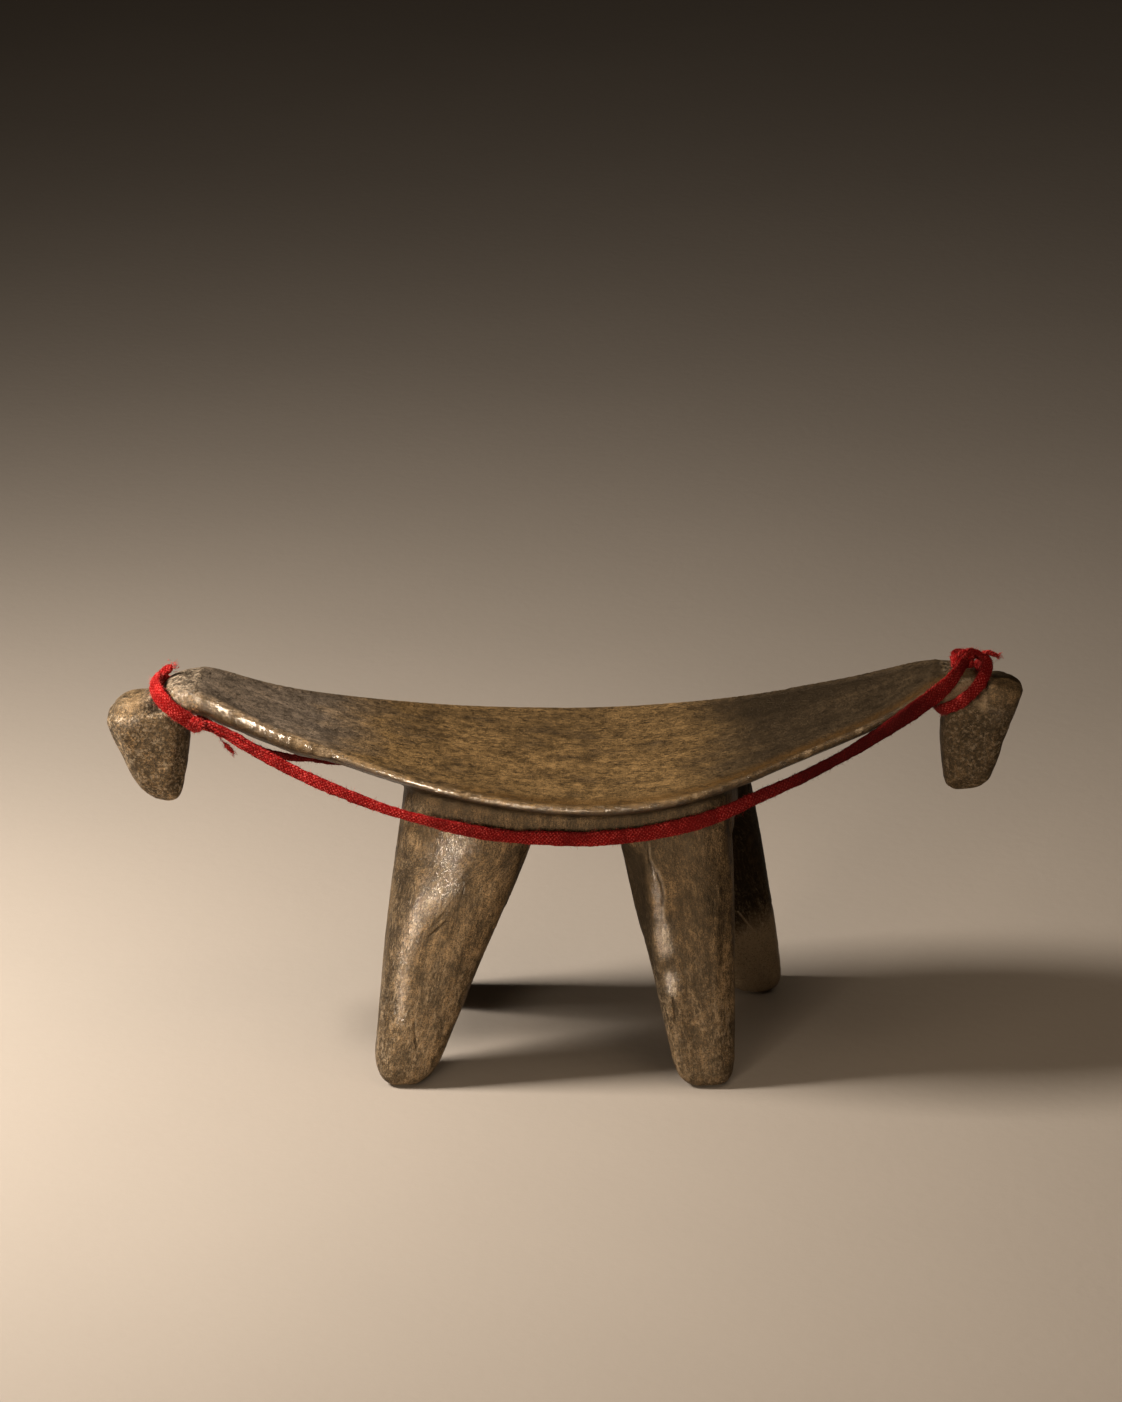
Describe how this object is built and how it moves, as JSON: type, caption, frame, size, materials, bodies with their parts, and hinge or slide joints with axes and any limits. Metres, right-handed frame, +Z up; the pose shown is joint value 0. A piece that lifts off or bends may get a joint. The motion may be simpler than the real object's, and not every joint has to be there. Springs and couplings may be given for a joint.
{
  "type": "carved headrest",
  "caption": "Low carved wooden headrest: a long dished seat curved up to both ends, a hanging knob past each end, splayed legs and a cloth carrying strap.",
  "frame": {"origin": "on the floor plane, at the bottom centre of the carved wood", "axes": "+X along the seat towards the higher end, +Y towards the back, +Z up; the front with the tied strap is at -Y"},
  "size_m": [0.3754, 0.117, 0.1716],
  "materials": {
    "dark_wood": "worn dark patina, soft gloss",
    "red_cloth": "matt woven cloth"
  },
  "bodies": {
    "root": {"headrest": "dark_wood", "carry_strap": "red_cloth"}
  },
  "joints": []
}
